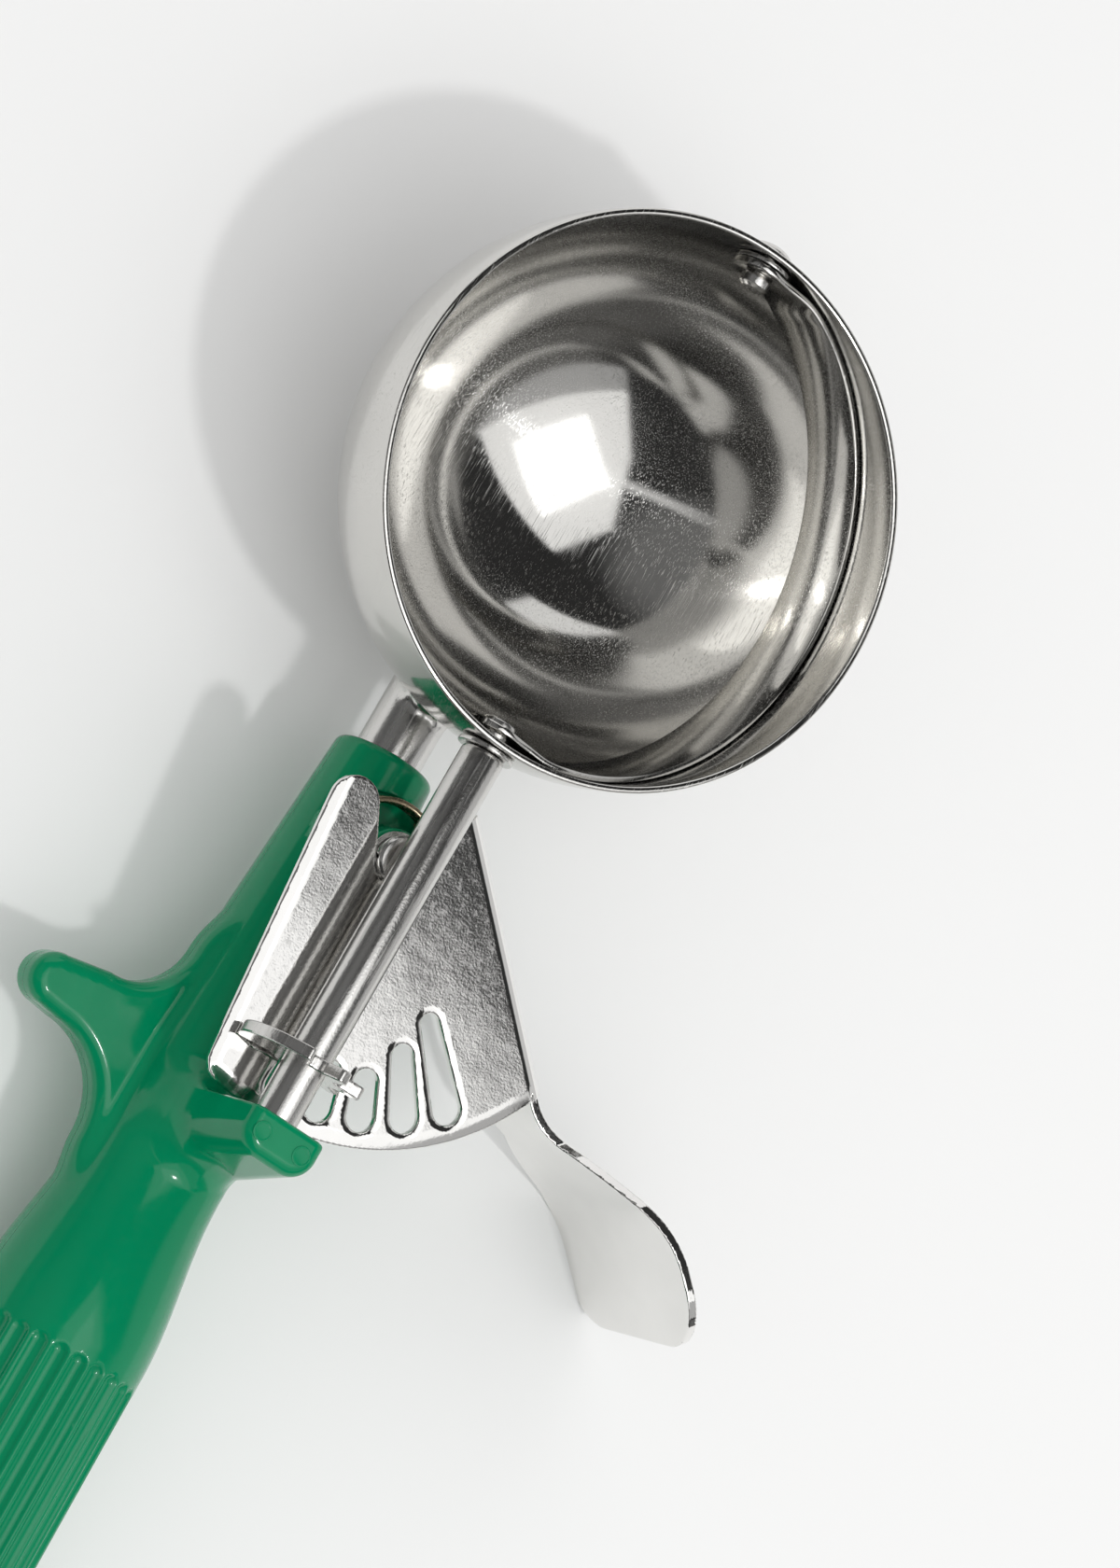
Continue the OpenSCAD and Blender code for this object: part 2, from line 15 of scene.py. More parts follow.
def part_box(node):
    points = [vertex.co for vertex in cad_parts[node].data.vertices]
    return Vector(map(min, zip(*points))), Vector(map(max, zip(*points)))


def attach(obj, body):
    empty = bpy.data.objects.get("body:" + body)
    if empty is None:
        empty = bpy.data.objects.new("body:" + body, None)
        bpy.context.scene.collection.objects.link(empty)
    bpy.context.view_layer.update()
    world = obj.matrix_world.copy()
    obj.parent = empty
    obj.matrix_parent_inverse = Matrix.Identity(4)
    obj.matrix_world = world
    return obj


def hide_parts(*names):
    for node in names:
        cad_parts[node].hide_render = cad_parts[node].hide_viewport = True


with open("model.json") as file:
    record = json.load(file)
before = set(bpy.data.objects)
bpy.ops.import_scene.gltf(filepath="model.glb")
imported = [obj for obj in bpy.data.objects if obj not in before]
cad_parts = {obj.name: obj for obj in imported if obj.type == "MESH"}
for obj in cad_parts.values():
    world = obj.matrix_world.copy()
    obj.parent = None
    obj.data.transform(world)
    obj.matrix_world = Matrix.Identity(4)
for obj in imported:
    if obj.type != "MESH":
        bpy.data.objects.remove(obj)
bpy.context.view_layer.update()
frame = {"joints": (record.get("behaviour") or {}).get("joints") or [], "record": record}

MM = 0.001
SHARP = math.radians(40)
MERGE = 1e-7
TINY = 1e-9
CHUNK = 40000
slot_of = {row["node"]: row["material_slot"] for row in frame["record"]["subparts"]}
joints = {joint["name"]: joint for joint in frame["joints"]}


def node_box(node):
    """A node's lowest and highest corner in millimetres."""
    low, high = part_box(node)
    return np.array(low) / MM, np.array(high) / MM


# ---------------------------------------------------------------- sizes, from the frame where it has them
bowl_low, bowl_high = node_box("bowl")
bowl_ro = (bowl_high[1] - bowl_low[1]) / 2
bowl_wall = 0.85
bowl_ri = bowl_ro - bowl_wall
bowl_c = np.array([(bowl_low[0] + bowl_high[0]) / 2, (bowl_low[1] + bowl_high[1]) / 2, bowl_low[2] + bowl_ro])
bowl_skirt = bowl_high[2] - bowl_c[2]
pivot = np.array(joints["lever_pivot"]["pos_m"]) / MM
rod_low, rod_high = node_box("bowl_rod")
rod_r = (rod_high[1] - rod_low[1]) / 2
shaft_low, shaft_high = node_box("wiper_shaft")
shaft_r = (shaft_high[1] - shaft_low[1]) / 2
pinion_low, pinion_high = node_box("pinion")
pinion_x = (pinion_low[0] + pinion_high[0]) / 2
pinion_t = pinion_high[0] - pinion_low[0]
pin_low, pin_high = node_box("pivot_pin")
washer_low, washer_high = node_box("pivot_washer")
spring_high = node_box("return_spring")[1]
handle_front = node_box("handle")[1][0]


# ---------------------------------------------------------------- camera
def make_camera():
    """The photograph's viewing angle: a long lens from above the bowl's mouth, on the guard's side."""
    data = bpy.data.cameras.new("camera")
    data.sensor_fit = "VERTICAL"
    data.sensor_height = 36
    data.lens = 150
    data.clip_end = 10
    camera = bpy.data.objects.new("camera", data)
    bpy.context.scene.collection.objects.link(camera)
    # the axes and the place of the camera that was fitted to the photograph
    right = Vector((0.4854284, -0.7412305, 0.4636125))
    down = Vector((-0.8506044, -0.5229752, 0.0544902))
    ahead = Vector((0.2020680, -0.4208019, -0.8843609))
    place = Vector(bowl_c) + Vector((-178.25, 296.51, 644.06))
    rotation = Matrix((right, -down, -ahead)).transposed()
    camera.matrix_world = Matrix.Translation(place * MM) @ rotation.to_4x4()
    bpy.context.scene.camera = camera


make_camera()


# ---------------------------------------------------------------- meshes
def arc(centre, radius, start, end, steps=12):
    """The points of an arc between two angles in degrees."""
    angles = np.radians(np.linspace(start, end, steps + 1))
    return [(centre[0] + radius * math.cos(a), centre[1] + radius * math.sin(a)) for a in angles]


def soften(outline, radius, steps=4):
    """A closed outline with each corner off the axis rounded."""
    least_turn = 0.35
    on_axis = 1e-6
    most = 0.45
    points = [np.array(p, float) for p in outline]
    rounded = []
    for i, here in enumerate(points):
        before = points[i - 1] - here
        after = points[(i + 1) % len(points)] - here
        a, b = np.linalg.norm(before), np.linalg.norm(after)
        turn = math.pi - math.acos(np.clip(before @ after / (a * b), -1, 1))
        if turn < least_turn or here[1] < on_axis:
            rounded.append(here)
            continue
        back = min(radius * math.tan(turn / 2), most * a, most * b)
        start, end = here + before / a * back, here + after / b * back
        for t in np.linspace(0, 1, steps + 1):
            rounded.append((1 - t) ** 2 * start + 2 * t * (1 - t) * here + t * t * end)
    return rounded


def piece_from(name, points, faces, nodes, body, slot=None, normals=None):
    """A new piece from millimetre points, which takes the place of its CAD nodes and rides on their body."""
    mesh = bpy.data.meshes.new(name)
    mesh.vertices.add(len(points))
    mesh.vertices.foreach_set("co", (np.asarray(points) * MM).ravel())
    if isinstance(faces, np.ndarray):
        corners, starts = faces.ravel(), np.arange(len(faces)) * faces.shape[1]
    else:
        corners = np.concatenate([np.asarray(f) for f in faces])
        starts = np.cumsum([0] + [len(f) for f in faces[:-1]])
    mesh.loops.add(len(corners))
    mesh.loops.foreach_set("vertex_index", corners)
    mesh.polygons.add(len(faces))
    mesh.polygons.foreach_set("loop_start", starts)
    mesh.update(calc_edges=True)
    if normals is None:
        work = bmesh.new()
        work.from_mesh(mesh)
        bmesh.ops.remove_doubles(work, verts=work.verts, dist=MERGE)
        bmesh.ops.recalc_face_normals(work, faces=work.faces)
        work.to_mesh(mesh)
        work.free()
    mesh.shade_smooth()
    if normals is None:
        mesh.set_sharp_from_angle(angle=SHARP)
    else:
        mesh.normals_split_custom_set_from_vertices(normals.tolist())
    piece = bpy.data.objects.new(name, mesh)
    bpy.context.scene.collection.objects.link(piece)
    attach(piece, body)
    for node in nodes:
        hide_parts(node)
    slot = slot or slot_of[nodes[0]]
    mesh.materials.append(finish[slot])
    return piece


def grid_faces(rows, columns, closed_rows=False, closed_columns=True):
    """The quads of a grid of rows x columns points."""
    quads = []
    for i in range(rows if closed_rows else rows - 1):
        for j in range(columns if closed_columns else columns - 1):
            a, b = i * columns + j, i * columns + (j + 1) % columns
            c, d = ((i + 1) % rows) * columns + (j + 1) % columns, ((i + 1) % rows) * columns + j
            quads.append((a, b, c, d))
    return quads


def turned(name, outline, centre, axis, nodes, body, corner=0.15, steps=72, slot=None):
    """A turned piece: a closed outline of (along, radius) points, spun about an axis through the centre."""
    outline = np.array(soften(outline, corner))
    spin = np.linspace(0, 2 * math.pi, steps, endpoint=False)
    along = np.repeat(outline[:, :1], steps, axis=1)
    u, v = outline[:, 1:] * np.cos(spin), outline[:, 1:] * np.sin(spin)
    order = {"X": (along, u, v), "Z": (u, v, along)}[axis]
    points = np.stack(order, -1).reshape(-1, 3) + centre
    return piece_from(name, points, grid_faces(len(outline), steps, closed_rows=True), nodes, body, slot)


def tube(name, path, radius, nodes, body, side_way, slot=None, sides=12):
    """A round wire along a path, with flat ends."""
    path = np.array(path, float)
    ahead = np.gradient(path, axis=0)
    ahead /= np.linalg.norm(ahead, axis=1)[:, None]
    u = np.cross(ahead, side_way)
    u /= np.linalg.norm(u, axis=1)[:, None]
    v = np.cross(ahead, u)
    spin = np.linspace(0, 2 * math.pi, sides, endpoint=False)[:, None]
    points = path[:, None] + radius * (np.cos(spin) * u[:, None] + np.sin(spin) * v[:, None])
    faces = grid_faces(len(path), sides)
    faces += [tuple(range(sides)), tuple(range((len(path) - 1) * sides, len(path) * sides))]
    return piece_from(name, points.reshape(-1, 3), faces, nodes, body, slot)


# ---------------------------------------------------------------- shapes given by a distance
def round_both(a, b, radius):
    """What lies inside both shapes, with the edge between them rounded."""
    reach = np.hypot(np.maximum(a + radius, 0), np.maximum(b + radius, 0))
    return np.minimum(np.maximum(a, b), -radius) + reach


def round_either(a, b, radius):
    """What lies inside either shape, with a fillet between them."""
    return -round_both(-a, -b, radius)


def polygon_distance(u, v, polygon):
    """The distance to a closed polygon, less than zero inside it."""
    points = np.stack([u, v], -1)
    result = np.empty(len(points))
    a = np.array(polygon, float)
    b = np.roll(a, -1, axis=0)
    edge = b - a
    length = np.maximum((edge ** 2).sum(1), TINY)
    for start in range(0, len(points), CHUNK):
        p = points[start:start + CHUNK, None]
        share = np.clip(((p - a) * edge).sum(-1) / length, 0, 1)
        gap = (p - a) - share[..., None] * edge
        near = np.sqrt((gap ** 2).sum(-1).min(1))
        above = (a[:, 1] > p[..., 1]) != (b[:, 1] > p[..., 1])
        with np.errstate(divide="ignore", invalid="ignore"):
            cross_u = a[:, 0] + (p[..., 1] - a[:, 1]) * edge[:, 0] / edge[:, 1]
        inside = (above & (p[..., 0] < cross_u)).sum(1) % 2 == 1
        result[start:start + CHUNK] = np.where(inside, -near, near)
    return result


def outline_table(polygon, step=0.2, margin=4):
    """A quick way to look up the distance to a polygon: a table of it, read between its points."""
    corners = np.array(polygon, float)
    low = corners.min(0) - margin
    count = np.ceil((corners.max(0) + margin - low) / step).astype(int) + 1
    u, v = np.meshgrid(*[low[i] + step * np.arange(count[i]) for i in (0, 1)], indexing="ij")
    table = polygon_distance(u.ravel(), v.ravel(), polygon).reshape(count)

    def distance(u, v):
        """The distance at some points, from the four table points round each."""
        a = (u - low[0]) / step
        b = (v - low[1]) / step
        i = np.clip(a.astype(int), 0, count[0] - 2)
        j = np.clip(b.astype(int), 0, count[1] - 2)
        near_a, near_b = np.clip(a - i, 0, 1), np.clip(b - j, 0, 1)
        first = table[i, j] * (1 - near_b) + table[i, j + 1] * near_b
        second = table[i + 1, j] * (1 - near_b) + table[i + 1, j + 1] * near_b
        outside = np.hypot(a - i - near_a, b - j - near_b) * step
        return first * (1 - near_a) + second * near_a + outside

    return distance


def gradient(distance, points, reach):
    """The slope of a distance at some points."""
    slope = np.empty_like(points)
    for axis in range(3):
        shift = np.zeros(3)
        shift[axis] = reach
        slope[:, axis] = (distance(points + shift) - distance(points - shift)) / (2 * reach)
    return slope


def surface_net(distance, low, high, step):
    """The points, quads and normals of a net over the surface where a distance is zero."""
    side = 8
    cull = 1.3
    rounds, least_slope = 4, 0.2
    move_reach, normal_reach = 0.02, 0.03
    low = np.array(low, float)
    count = np.ceil((np.array(high) - low) / (side * step)).astype(int)
    blocks = np.stack(np.meshgrid(*[np.arange(n) for n in count], indexing="ij"), -1).reshape(-1, 3)
    middle = low + (blocks + 0.5) * side * step
    blocks = blocks[np.abs(distance(middle)) < cull * side * step]
    corner = np.stack(np.meshgrid(*[np.arange(side + 1)] * 3, indexing="ij"), -1)
    grid = blocks[:, None, None, None] * side + corner
    value = distance((low + grid * step).reshape(-1, 3)).reshape(grid.shape[:4])

    def part(offset):
        """The values at one corner of every cell."""
        i, j, k = offset
        return value[:, i:i + side, j:j + side, k:k + side]

    total = np.zeros((*part((0, 0, 0)).shape, 3))
    hits = np.zeros(part((0, 0, 0)).shape)
    for axis in range(3):
        for du in (0, 1):
            for dv in (0, 1):
                offset = np.zeros(3, int)
                offset[(axis + 1) % 3] = du
                offset[(axis + 2) % 3] = dv
                onward = offset.copy()
                onward[axis] = 1
                a, b = part(offset), part(onward)
                crossed = (a < 0) != (b < 0)
                share = np.where(crossed, a / np.where(crossed, a - b, 1), 0)
                total += crossed[..., None] * (offset + share[..., None] * (onward - offset))
                hits += crossed
    live = hits > 0
    cells = grid[:, :side, :side, :side][live]
    span = count * side + 1

    def number(cell):
        """One number for each cell."""
        return (cell[..., 0] * span[1] + cell[..., 1]) * span[2] + cell[..., 2]

    names = number(cells)
    order = np.argsort(names)
    names = names[order]
    points = low + (cells + total[live] / hits[live][:, None])[order] * step
    quads = []
    for axis in range(3):
        ahead = np.zeros(3, int)
        ahead[axis] = 1
        a, b = part((0, 0, 0)), part(ahead)
        crossed = (a < 0) != (b < 0)
        edge = grid[:, :side, :side, :side][crossed]
        u, v = np.zeros(3, int), np.zeros(3, int)
        u[(axis + 1) % 3] = 1
        v[(axis + 2) % 3] = 1
        around = np.stack([number(edge - u - v), number(edge - v), number(edge), number(edge - u)], -1)
        around[a[crossed] >= 0] = around[a[crossed] >= 0][:, ::-1]
        quads.append(np.searchsorted(names, around))
    for _ in range(rounds):
        slope = gradient(distance, points, move_reach)
        move = (distance(points) / np.maximum((slope ** 2).sum(1), least_slope))[:, None] * slope
        points -= np.clip(move, -step / 2, step / 2)
    slope = gradient(distance, points, normal_reach)
    normals = slope / np.maximum(np.linalg.norm(slope, axis=1), TINY)[:, None]
    return points, np.concatenate(quads), normals


# ---------------------------------------------------------------- materials
def node_maker(tree):
    """A function that adds a node to a tree, with numbers or other nodes' outputs on its inputs."""

    def node(kind, inputs=None, **settings):
        """A new node of a kind."""
        made = tree.nodes.new(kind)
        for key, value in settings.items():
            setattr(made, key, value)
        for key, value in (inputs or {}).items():
            if isinstance(value, bpy.types.NodeSocket):
                tree.links.new(value, made.inputs[key])
            else:
                made.inputs[key].default_value = value
        return made

    return node


def spread(node, value, start, end, low=0.0, high=1.0):
    """A value brought from one span of numbers to another, and held at its ends."""
    span = {"Value": value, "From Min": start, "From Max": end, "To Min": low, "To Max": high}
    return node("ShaderNodeMapRange", span).outputs[0]


def bump(node, height, strength, depth, under=None):
    """A surface normal that a texture's height tips, laid over another one."""
    inputs = {"Height": height.outputs[0], "Strength": strength, "Distance": depth}
    if under is not None:
        inputs["Normal"] = under
    return node("ShaderNodeBump", inputs).outputs[0]


def material(name):
    """A new node material with its Principled shader, and functions that add a node and a link."""
    mat = bpy.data.materials.new(name)
    mat.use_nodes = True
    tree = mat.node_tree
    return mat, tree.nodes["Principled BSDF"], node_maker(tree), tree.links.new


# the noise values at the ends of a slow change, and where scratches start and are at their dullest
NOISE_LOW, NOISE_HIGH = 0.3, 0.7
SCRATCH_START, SCRATCH_FULL = 0.54, 0.68
PATCHES_PER_M = 90
WORN_TONE = 0.93
SCRATCH_DEPTH, GRAIN_DEPTH = 0.00002, 0.00003


def steel(name, colour, rough, deep, stretch, lines_per_m, scratch, grain_per_m, grain,
          wave=0.0, anisotropic=0.0):
    """Steel with duller fine scratches along one way, a mottled grain, slow waves and patches of wear.

    The roughness is rough between the scratches and deep on them. Scratch and grain are the strengths of
    their bumps, and wave is the depth of the waves in metres.
    """
    mat, shader, node, link = material(name)
    shader.inputs["Metallic"].default_value = 1
    if anisotropic:
        shader.inputs["Anisotropic"].default_value = anisotropic
        normal = node("ShaderNodeNewGeometry").outputs["Normal"]
        across = node("ShaderNodeVectorMath", {0: normal, 1: (1, 0, 0)}, operation="CROSS_PRODUCT")
        link(across.outputs[0], shader.inputs["Tangent"])
    place = node("ShaderNodeTexCoord").outputs["Object"]
    drawn = node("ShaderNodeMapping", {"Vector": place, "Scale": stretch})
    lines = node("ShaderNodeTexNoise", {"Vector": drawn.outputs[0], "Scale": lines_per_m, "Detail": 3})
    speckle = node("ShaderNodeTexNoise", {"Vector": place, "Scale": grain_per_m, "Detail": 2})
    patches = node("ShaderNodeTexNoise", {"Vector": place, "Scale": PATCHES_PER_M, "Detail": 4})
    tone = spread(node, patches.outputs[0], NOISE_LOW, NOISE_HIGH, WORN_TONE, 1.0)
    mixed = node("ShaderNodeVectorMath", {0: colour, "Scale": tone}, operation="SCALE")
    link(mixed.outputs[0], shader.inputs["Base Color"])
    dull = spread(node, lines.outputs[0], SCRATCH_START, SCRATCH_FULL, rough, deep)
    link(dull, shader.inputs["Roughness"])
    waves = bump(node, patches, 1, wave)
    lined = bump(node, lines, scratch, SCRATCH_DEPTH, waves)
    link(bump(node, speckle, grain, GRAIN_DEPTH, lined), shader.inputs["Normal"])
    return mat


def green_plastic():
    """Glossy moulded plastic with faint flow marks and the mould's parting line at mid height."""
    mat, shader, node, link = material("green_moulded_plastic")
    seam_half, seam_depth, ripple_depth = 0.00012, 0.0001, 0.00005
    shader.inputs["Specular IOR Level"].default_value = 0.35
    shader.inputs["Subsurface Weight"].default_value = 0.06
    shader.inputs["Subsurface Radius"].default_value = (0.0005, 0.002, 0.001)
    place = node("ShaderNodeTexCoord").outputs["Object"]
    flow = node("ShaderNodeMapping", {"Vector": place, "Scale": (0.25, 1, 1)})
    cloud = node("ShaderNodeTexNoise", {"Vector": flow.outputs[0], "Scale": 120, "Detail": 4})
    tint = node("ShaderNodeValToRGB", {"Fac": cloud.outputs[0]})
    tint.color_ramp.elements[0].color = (0.0, 0.19, 0.08, 1)
    tint.color_ramp.elements[1].color = (0.0, 0.26, 0.11, 1)
    link(tint.outputs[0], shader.inputs["Base Color"])
    ripple = node("ShaderNodeTexNoise", {"Vector": place, "Scale": 900, "Detail": 3})
    link(spread(node, ripple.outputs[0], NOISE_LOW, NOISE_HIGH, 0.08, 0.16), shader.inputs["Roughness"])
    height = node("ShaderNodeSeparateXYZ", {0: place}).outputs["Z"]
    away = node("ShaderNodeMath", {0: height}, operation="ABSOLUTE")
    line = spread(node, away.outputs[0], 0.0, seam_half, 1.0, 0.0)
    seam = node("ShaderNodeBump", {"Height": line, "Strength": 0.6, "Distance": seam_depth})
    skin = bump(node, ripple, 0.04, ripple_depth, seam.outputs[0])
    link(skin, shader.inputs["Normal"])
    return mat


finish = {
    "bowl_steel": steel(
        "polished_bowl_steel", (0.68, 0.67, 0.645), rough=0.05, deep=0.32,
        stretch=(0.01, 1, 1), lines_per_m=12000, scratch=0.1,
        grain_per_m=3000, grain=0.01, wave=0.00001, anisotropic=1.0,
    ),
    "lever_steel": steel(
        "bright_lever_steel", (0.9, 0.89, 0.87), rough=0.06, deep=0.13,
        stretch=(1, 1, 1), lines_per_m=1200, scratch=0.04,
        grain_per_m=3500, grain=0.09, wave=0.00003,
    ),
    "pin_steel": steel(
        "turned_steel", (0.68, 0.67, 0.65), rough=0.2, deep=0.34,
        stretch=(0.05, 1, 1), lines_per_m=2500, scratch=0.2,
        grain_per_m=3500, grain=0.5,
    ),
    "spring_wire": steel(
        "brown_spring_wire", (0.34, 0.28, 0.19), rough=0.26, deep=0.36,
        stretch=(1, 1, 1), lines_per_m=2000, scratch=0.2,
        grain_per_m=4000, grain=0.2,
    ),
    "green_plastic": green_plastic(),
}

# ---------------------------------------------------------------- bowl, rod and weld
rim = 0.35
axis_steps, bowl_steps = 48, 160


def make_bowl():
    """A spun half sphere with a short straight skirt and a rounded rim."""
    outside = [(z, r) for r, z in arc((0, 0), bowl_ro, -90, 0, axis_steps)]
    inside = [(z, r) for r, z in arc((0, 0), bowl_ri, 0, -90, axis_steps)]
    outline = outside + [(bowl_skirt, bowl_ro), (bowl_skirt, bowl_ri)] + inside
    turned("bowl_shell", outline, bowl_c, "Z", ["bowl"], "frame", corner=rim, steps=bowl_steps)


def to_bowl(y, z):
    """Where a line along X at this height meets the outside of the bowl, on the handle's side."""
    return bowl_c[0] - np.sqrt(bowl_ro ** 2 - (y - bowl_c[1]) ** 2 - (z - bowl_c[2]) ** 2)


def make_rod():
    """A rod with its end shaped to the bowl's wall."""
    spin = np.linspace(0, 2 * math.pi, 64, endpoint=False)
    y, z = rod_r * np.cos(spin), rod_r * np.sin(spin)
    near = np.stack([to_bowl(y, z), y, z], -1)
    rows = [near * [0, 1, 1] + [rod_low[0], 0, 0]]
    ring_steps = (-5, 2)
    rows += [near * [0, 1, 1] + [handle_front + step, 0, 0] for step in ring_steps]
    rows.append(near)
    faces = grid_faces(len(rows), len(spin)) + [tuple(range(len(spin)))]
    piece_from("bowl_rod", np.concatenate(rows), faces, ["bowl_rod"], "frame")


def make_weld():
    """A hollow bead of weld with low ripples, from the rod up to the bowl's wall."""
    low, high = node_box("rod_weld")
    ripple_room, clear, sink = 0.3, 0.02, 0.05
    hollow, climb = 2.2, 0.8
    width = (high[1] - low[1]) / 2 - rod_r - ripple_room
    spin = np.linspace(0, 2 * math.pi, 96, endpoint=False)
    ripple = 0.12 * np.sin(11 * spin) + 0.08 * np.sin(17 * spin + 1)
    length = 2.4 + 0.5 * np.sin(3 * spin)
    rows = []
    for t in np.linspace(0, 1, 14):
        radius = rod_r + clear + width * t ** hollow + ripple * t * (1 - 0.5 * t)
        y, z = radius * np.cos(spin), radius * np.sin(spin)
        seat = to_bowl(y, z) + sink
        start = seat - length
        rows.append(np.stack([start + (seat - start) * t ** climb, y, z], -1))
    piece_from("weld_bead", np.concatenate(rows), grid_faces(len(rows), len(spin)), ["rod_weld"], "frame")


make_bowl()
make_rod()
make_weld()

# ---------------------------------------------------------------- blade, pins and washers
blade_w = 8.2
blade_t = 0.75
blade_gap = 0.4
blade_r = bowl_ri - blade_gap - blade_t / 2
blade_turn = math.radians(15.5)
ear_r = 3.3
ear_t = 0.8
ear_mid = bowl_c[0] - node_box("wiper_blade")[0][0] - ear_t / 2
washer_bore_r, pin_bore_r = 1.7, 1.6


def soft_step(value, low, high):
    """A smooth rise from 0 to 1 between two values."""
    t = np.clip((value - low) / (high - low), 0, 1)
    return t * t * (3 - 2 * t)


def make_blade():
    """A thin half ring whose ends flatten into round ears on the shaft's axis."""
    flat_from, flat_to, wide_from, wide_to = 2.5, 8.5, 1, 9
    least_square = 0.04
    # distances from the axis: round the ear's end, past the ear, and round the ring to its middle
    ear = -ear_r * np.cos(np.radians(np.linspace(4, 90, 14)))
    ring = blade_r * np.sin(np.radians(np.linspace(20, 90, 36)))
    out = np.concatenate([ear, np.linspace(0.4, 10, 25), ring])
    flat = soft_step(out, flat_from, flat_to)
    along = ear_mid * (1 - flat) + np.sqrt(np.maximum(blade_r ** 2 - out ** 2, 0)) * flat
    half = np.sqrt(np.maximum(ear_r ** 2 - np.minimum(out, 0) ** 2, least_square))
    half = half + (blade_w / 2 - ear_r) * soft_step(out, wide_from, wide_to)
    along = np.concatenate([along, -along[-2::-1]])
    out = np.concatenate([out, out[-2::-1]])
    half = np.concatenate([half, half[-2::-1]])
    way = np.stack([np.gradient(along), np.gradient(out)], -1)
    way /= np.linalg.norm(way, axis=1)[:, None]
    corners = [(1, 0.45), (0.985, 0.8), (0.94, 1), (-0.94, 1), (-0.985, 0.8), (-1, 0.45)]
    section = np.array(corners + [(-w, -t) for w, t in corners])
    across = section[:, 0] * half[:, None]
    thick = section[:, 1] * blade_t / 2
    x = along[:, None] + thick * way[:, 1:]
    y = -(out[:, None] - thick * way[:, :1])
    z = across + 0 * x
    turned_y = y * math.cos(blade_turn) - z * math.sin(blade_turn)
    turned_z = y * math.sin(blade_turn) + z * math.cos(blade_turn)
    points = np.stack([x, turned_y, turned_z], -1).reshape(-1, 3) + bowl_c
    count = len(section)
    faces = grid_faces(len(along), count)
    faces += [tuple(range(count)), tuple(range((len(along) - 1) * count, len(along) * count))]
    piece_from("wiper_blade", points, faces, ["wiper_blade"], "wiper")


def make_pins():
    """The turned pins and washers round the shaft's axis."""
    low, high = node_box("front_pin")
    root, tip = low[0] - bowl_c[0], high[0] - bowl_c[0]
    head_r, neck_r = 2.85, 1.25
    rise = tip - bowl_ro
    dome = [(bowl_ro + rise * math.sin(a), head_r * math.cos(a)) for a in np.radians(np.linspace(0, 90, 10))]
    rivet = [(root, 0), (root, 1.2), (root + 0.35, 1.75), (root + 1.2, 1.85), (root + 1.55, 1.5)]
    line = rivet + [(root + 1.6, neck_r), (bowl_ro, neck_r)] + dome
    turned("front_pin", line, bowl_c, "X", ["front_pin"], "frame")
    for node in ("front_washer", "rear_washer"):
        low, high = node_box(node)
        a, b = low[0] - bowl_c[0], high[0] - bowl_c[0]
        outer = (high[1] - low[1]) / 2
        line = [(a, washer_bore_r), (a, outer), (b, outer), (b, washer_bore_r)]
        turned(node, line, bowl_c, "X", [node], "frame", corner=0.12)
    shaft = shaft_low[0] - bowl_c[0]
    play = 0.1
    front = node_box("rear_washer")[0][0] - bowl_c[0] - play
    head = shaft_high[0] - bowl_c[0]
    line = [(shaft, 0), (shaft, shaft_r), (front - 0.5, shaft_r), (front, shaft_r - 0.15)]
    line += [(front, pin_bore_r), (head - 1, pin_bore_r)]
    line += [(head - 1, 2.1), (head - 0.3, 2.05), (head, 1.4), (head, 0)]
    turned("wiper_shaft", line, bowl_c, "X", ["wiper_shaft"], "wiper", corner=0.2)


def make_pivot():
    """The pivot pin with its flat bevelled head, and the washer under the gear plate."""
    head_r = (pin_high[0] - pin_low[0]) / 2
    top, bottom = pin_high[2] - pivot[2], pin_low[2] - pivot[2]
    line = [(bottom, 0), (bottom, pin_bore_r), (0.1, pin_bore_r), (0.1, head_r - 0.1), (top - 0.35, head_r)]
    line += [(top - 0.12, head_r - 0.3), (top, head_r - 0.75), (top - 0.08, head_r - 1.0), (top - 0.08, 0)]
    turned("pivot_pin", line, pivot, "Z", ["pivot_pin"], "frame", corner=0.15)
    low, high = washer_low[2] - pivot[2], washer_high[2] - pivot[2]
    outer = (washer_high[0] - washer_low[0]) / 2
    line = [(low, washer_bore_r), (low, outer), (high, outer), (high, washer_bore_r)]
    turned("pivot_washer", line, pivot, "Z", ["pivot_washer"], "frame", corner=0.1)


make_blade()
make_pins()
make_pivot()

# ---------------------------------------------------------------- pinion
tooth_pitch = 360 / 7
slot_pitch = 10.75
slot_start = 1.95
first_tooth = 270 - slot_start * tooth_pitch / slot_pitch
tooth_root_r, tooth_tip_r = 4.3, 7.0
tooth_root_w, tooth_tip_w = 2.5, 1.4
sector_r, sector_from, sector_to = 8.2, -36, 68
tooth_edge, tooth_fillet = 0.4, 0.5
sector_edge, sector_fillet = 0.5, 0.4
pinion_edge = 0.22


